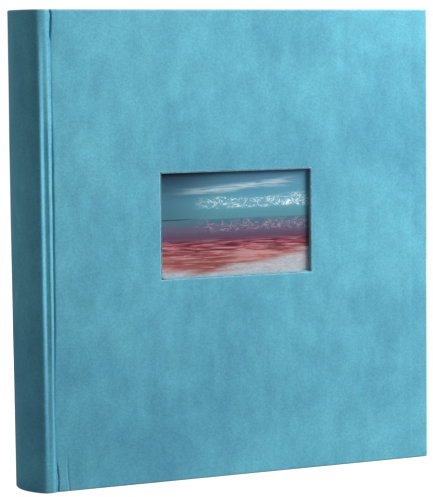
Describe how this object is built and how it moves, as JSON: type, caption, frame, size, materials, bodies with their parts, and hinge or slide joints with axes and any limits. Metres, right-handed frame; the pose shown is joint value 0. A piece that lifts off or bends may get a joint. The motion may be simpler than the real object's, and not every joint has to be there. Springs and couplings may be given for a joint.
{
  "type": "scrapbook album",
  "caption": "Case-bound scrapbook album standing closed: round spine, padded-look cloth covers with a picture window, and a block of hinged card leaves.",
  "frame": {"origin": "centre of the closed album's footprint, on the surface it stands on", "axes": "+Z from tail to head, front cover with the window faces -Y, spine towards -X, fore edge towards +X"},
  "size_m": [0.302, 0.0504, 0.32],
  "materials": {
    "cover_cloth": "turquoise nubuck-look covering, napped, softly clouded, matt",
    "greyboard": "grey bookbinder's board, matt",
    "infill_card": "thin pulp card, matt",
    "endpaper": "smooth white endpaper, matt",
    "page_card": "white photo-mounting card, matt",
    "glassine": "translucent glassine interleaf, satin",
    "photo_print": null,
    "mull": "open cotton gauze, glue-sized",
    "kraft_liner": "brown kraft paper, matt",
    "headband": "woven cotton headband, striped"
  },
  "bodies": {
    "spine": {"spine_board": "greyboard", "spine_cloth": "cover_cloth", "front_joint_cloth": "cover_cloth", "back_joint_cloth": "cover_cloth", "leaf_guards": "page_card", "spacer_strips": "page_card", "spine_mull": "mull", "spine_liner": "kraft_liner", "headband_top": "headband", "headband_bottom": "headband"},
    "front_cover": {"front_board": "greyboard", "front_cover_cloth": "cover_cloth", "front_infill": "infill_card", "front_pastedown": "endpaper", "window_picture": "photo_print", "picture_backing": "infill_card"},
    "back_cover": {"back_board": "greyboard", "back_cover_cloth": "cover_cloth", "back_infill": "infill_card", "back_pastedown": "endpaper"},
    "front_flyleaf": {"front_flyleaf": "endpaper"},
    "back_flyleaf": {"back_flyleaf": "endpaper"},
    "leaf_01": {"leaf_01": "page_card"},
    "leaf_02": {"leaf_02": "page_card"},
    "leaf_03": {"leaf_03": "page_card"},
    "leaf_04": {"leaf_04": "page_card"},
    "leaf_05": {"leaf_05": "page_card"},
    "leaf_06": {"leaf_06": "page_card"},
    "leaf_07": {"leaf_07": "page_card"},
    "leaf_08": {"leaf_08": "page_card"},
    "leaf_09": {"leaf_09": "page_card"},
    "leaf_10": {"leaf_10": "page_card"},
    "leaf_11": {"leaf_11": "page_card"},
    "leaf_12": {"leaf_12": "page_card"},
    "leaf_13": {"leaf_13": "page_card"},
    "leaf_14": {"leaf_14": "page_card"},
    "leaf_15": {"leaf_15": "page_card"},
    "leaf_16": {"leaf_16": "page_card"},
    "leaf_17": {"leaf_17": "page_card"},
    "leaf_18": {"leaf_18": "page_card"},
    "leaf_19": {"leaf_19": "page_card"},
    "leaf_20": {"leaf_20": "page_card"},
    "leaf_21": {"leaf_21": "page_card"},
    "leaf_22": {"leaf_22": "page_card"},
    "leaf_23": {"leaf_23": "page_card"},
    "leaf_24": {"leaf_24": "page_card"},
    "leaf_25": {"leaf_25": "page_card"},
    "leaf_26": {"leaf_26": "page_card"},
    "leaf_27": {"leaf_27": "page_card"},
    "leaf_28": {"leaf_28": "page_card"},
    "leaf_29": {"leaf_29": "page_card"},
    "leaf_30": {"leaf_30": "page_card"}
  },
  "joints": [
    {"name": "front_cover_hinge", "type": "hinge", "parent": "spine", "child": "front_cover", "pos_m": [-0.1345, -0.0252, 0], "axis": [0, 0, -1], "range_deg": [0, 178]},
    {"name": "front_flyleaf_hinge", "type": "hinge", "parent": "spine", "child": "front_flyleaf", "pos_m": [-0.1345, -0.0252, 0], "axis": [0, 0, -1], "range_deg": [0, 163.76]},
    {"name": "back_cover_hinge", "type": "hinge", "parent": "spine", "child": "back_cover", "pos_m": [-0.1345, 0.0252, 0], "axis": [0, 0, 1], "range_deg": [0, 178]},
    {"name": "back_flyleaf_hinge", "type": "hinge", "parent": "spine", "child": "back_flyleaf", "pos_m": [-0.1345, 0.0252, 0], "axis": [0, 0, 1], "range_deg": [0, 163.76]},
    {"name": "leaf_01_hinge", "type": "hinge", "parent": "spine", "child": "leaf_01", "pos_m": [-0.126, -0.01885, 0], "axis": [0, 0, -1], "range_deg": [0, 86]},
    {"name": "leaf_02_hinge", "type": "hinge", "parent": "spine", "child": "leaf_02", "pos_m": [-0.12552, -0.01755, 0], "axis": [0, 0, -1], "range_deg": [0, 80.27]},
    {"name": "leaf_03_hinge", "type": "hinge", "parent": "spine", "child": "leaf_03", "pos_m": [-0.12507, -0.01625, 0], "axis": [0, 0, -1], "range_deg": [0, 74.53]},
    {"name": "leaf_04_hinge", "type": "hinge", "parent": "spine", "child": "leaf_04", "pos_m": [-0.12466, -0.01495, 0], "axis": [0, 0, -1], "range_deg": [0, 68.8]},
    {"name": "leaf_05_hinge", "type": "hinge", "parent": "spine", "child": "leaf_05", "pos_m": [-0.12429, -0.01365, 0], "axis": [0, 0, -1], "range_deg": [0, 63.07]},
    {"name": "leaf_06_hinge", "type": "hinge", "parent": "spine", "child": "leaf_06", "pos_m": [-0.12395, -0.01235, 0], "axis": [0, 0, -1], "range_deg": [0, 57.33]},
    {"name": "leaf_07_hinge", "type": "hinge", "parent": "spine", "child": "leaf_07", "pos_m": [-0.12364, -0.01105, 0], "axis": [0, 0, -1], "range_deg": [0, 51.6]},
    {"name": "leaf_08_hinge", "type": "hinge", "parent": "spine", "child": "leaf_08", "pos_m": [-0.12337, -0.00975, 0], "axis": [0, 0, -1], "range_deg": [0, 45.87]},
    {"name": "leaf_09_hinge", "type": "hinge", "parent": "spine", "child": "leaf_09", "pos_m": [-0.12314, -0.00845, 0], "axis": [0, 0, -1], "range_deg": [0, 40.13]},
    {"name": "leaf_10_hinge", "type": "hinge", "parent": "spine", "child": "leaf_10", "pos_m": [-0.12295, -0.00715, 0], "axis": [0, 0, -1], "range_deg": [0, 34.4]},
    {"name": "leaf_11_hinge", "type": "hinge", "parent": "spine", "child": "leaf_11", "pos_m": [-0.12279, -0.00585, 0], "axis": [0, 0, -1], "range_deg": [0, 28.67]},
    {"name": "leaf_12_hinge", "type": "hinge", "parent": "spine", "child": "leaf_12", "pos_m": [-0.12266, -0.00455, 0], "axis": [0, 0, -1], "range_deg": [0, 22.93]},
    {"name": "leaf_13_hinge", "type": "hinge", "parent": "spine", "child": "leaf_13", "pos_m": [-0.12257, -0.00325, 0], "axis": [0, 0, -1], "range_deg": [0, 17.2]},
    {"name": "leaf_14_hinge", "type": "hinge", "parent": "spine", "child": "leaf_14", "pos_m": [-0.12252, -0.00195, 0], "axis": [0, 0, -1], "range_deg": [0, 11.47]},
    {"name": "leaf_15_hinge", "type": "hinge", "parent": "spine", "child": "leaf_15", "pos_m": [-0.1225, -0.00065, 0], "axis": [0, 0, -1], "range_deg": [0, 5.73]},
    {"name": "leaf_16_hinge", "type": "hinge", "parent": "spine", "child": "leaf_16", "pos_m": [-0.1225, 0.00065, 0], "axis": [0, 0, 1], "range_deg": [0, 5.73]},
    {"name": "leaf_17_hinge", "type": "hinge", "parent": "spine", "child": "leaf_17", "pos_m": [-0.12252, 0.00195, 0], "axis": [0, 0, 1], "range_deg": [0, 11.47]},
    {"name": "leaf_18_hinge", "type": "hinge", "parent": "spine", "child": "leaf_18", "pos_m": [-0.12257, 0.00325, 0], "axis": [0, 0, 1], "range_deg": [0, 17.2]},
    {"name": "leaf_19_hinge", "type": "hinge", "parent": "spine", "child": "leaf_19", "pos_m": [-0.12266, 0.00455, 0], "axis": [0, 0, 1], "range_deg": [0, 22.93]},
    {"name": "leaf_20_hinge", "type": "hinge", "parent": "spine", "child": "leaf_20", "pos_m": [-0.12279, 0.00585, 0], "axis": [0, 0, 1], "range_deg": [0, 28.67]},
    {"name": "leaf_21_hinge", "type": "hinge", "parent": "spine", "child": "leaf_21", "pos_m": [-0.12295, 0.00715, 0], "axis": [0, 0, 1], "range_deg": [0, 34.4]},
    {"name": "leaf_22_hinge", "type": "hinge", "parent": "spine", "child": "leaf_22", "pos_m": [-0.12314, 0.00845, 0], "axis": [0, 0, 1], "range_deg": [0, 40.13]},
    {"name": "leaf_23_hinge", "type": "hinge", "parent": "spine", "child": "leaf_23", "pos_m": [-0.12337, 0.00975, 0], "axis": [0, 0, 1], "range_deg": [0, 45.87]},
    {"name": "leaf_24_hinge", "type": "hinge", "parent": "spine", "child": "leaf_24", "pos_m": [-0.12364, 0.01105, 0], "axis": [0, 0, 1], "range_deg": [0, 51.6]},
    {"name": "leaf_25_hinge", "type": "hinge", "parent": "spine", "child": "leaf_25", "pos_m": [-0.12395, 0.01235, 0], "axis": [0, 0, 1], "range_deg": [0, 57.33]},
    {"name": "leaf_26_hinge", "type": "hinge", "parent": "spine", "child": "leaf_26", "pos_m": [-0.12429, 0.01365, 0], "axis": [0, 0, 1], "range_deg": [0, 63.07]},
    {"name": "leaf_27_hinge", "type": "hinge", "parent": "spine", "child": "leaf_27", "pos_m": [-0.12466, 0.01495, 0], "axis": [0, 0, 1], "range_deg": [0, 68.8]},
    {"name": "leaf_28_hinge", "type": "hinge", "parent": "spine", "child": "leaf_28", "pos_m": [-0.12507, 0.01625, 0], "axis": [0, 0, 1], "range_deg": [0, 74.53]},
    {"name": "leaf_29_hinge", "type": "hinge", "parent": "spine", "child": "leaf_29", "pos_m": [-0.12552, 0.01755, 0], "axis": [0, 0, 1], "range_deg": [0, 80.27]},
    {"name": "leaf_30_hinge", "type": "hinge", "parent": "spine", "child": "leaf_30", "pos_m": [-0.126, 0.01885, 0], "axis": [0, 0, 1], "range_deg": [0, 86]}
  ],
  "couplings": [
    {"joint": "front_flyleaf_hinge", "follows": "front_cover_hinge", "ratio": 0.92},
    {"joint": "back_flyleaf_hinge", "follows": "back_cover_hinge", "ratio": 0.92},
    {"joint": "leaf_01_hinge", "follows": "front_cover_hinge", "ratio": 0.48315},
    {"joint": "leaf_02_hinge", "follows": "front_cover_hinge", "ratio": 0.45094},
    {"joint": "leaf_03_hinge", "follows": "front_cover_hinge", "ratio": 0.41873},
    {"joint": "leaf_04_hinge", "follows": "front_cover_hinge", "ratio": 0.38652},
    {"joint": "leaf_05_hinge", "follows": "front_cover_hinge", "ratio": 0.35431},
    {"joint": "leaf_06_hinge", "follows": "front_cover_hinge", "ratio": 0.3221},
    {"joint": "leaf_07_hinge", "follows": "front_cover_hinge", "ratio": 0.28989},
    {"joint": "leaf_08_hinge", "follows": "front_cover_hinge", "ratio": 0.25768},
    {"joint": "leaf_09_hinge", "follows": "front_cover_hinge", "ratio": 0.22547},
    {"joint": "leaf_10_hinge", "follows": "front_cover_hinge", "ratio": 0.19326},
    {"joint": "leaf_11_hinge", "follows": "front_cover_hinge", "ratio": 0.16105},
    {"joint": "leaf_12_hinge", "follows": "front_cover_hinge", "ratio": 0.12884},
    {"joint": "leaf_13_hinge", "follows": "front_cover_hinge", "ratio": 0.096629},
    {"joint": "leaf_14_hinge", "follows": "front_cover_hinge", "ratio": 0.064419},
    {"joint": "leaf_15_hinge", "follows": "front_cover_hinge", "ratio": 0.03221},
    {"joint": "leaf_16_hinge", "follows": "back_cover_hinge", "ratio": 0.03221},
    {"joint": "leaf_17_hinge", "follows": "back_cover_hinge", "ratio": 0.064419},
    {"joint": "leaf_18_hinge", "follows": "back_cover_hinge", "ratio": 0.096629},
    {"joint": "leaf_19_hinge", "follows": "back_cover_hinge", "ratio": 0.12884},
    {"joint": "leaf_20_hinge", "follows": "back_cover_hinge", "ratio": 0.16105},
    {"joint": "leaf_21_hinge", "follows": "back_cover_hinge", "ratio": 0.19326},
    {"joint": "leaf_22_hinge", "follows": "back_cover_hinge", "ratio": 0.22547},
    {"joint": "leaf_23_hinge", "follows": "back_cover_hinge", "ratio": 0.25768},
    {"joint": "leaf_24_hinge", "follows": "back_cover_hinge", "ratio": 0.28989},
    {"joint": "leaf_25_hinge", "follows": "back_cover_hinge", "ratio": 0.3221},
    {"joint": "leaf_26_hinge", "follows": "back_cover_hinge", "ratio": 0.35431},
    {"joint": "leaf_27_hinge", "follows": "back_cover_hinge", "ratio": 0.38652},
    {"joint": "leaf_28_hinge", "follows": "back_cover_hinge", "ratio": 0.41873},
    {"joint": "leaf_29_hinge", "follows": "back_cover_hinge", "ratio": 0.45094},
    {"joint": "leaf_30_hinge", "follows": "back_cover_hinge", "ratio": 0.48315}
  ]
}
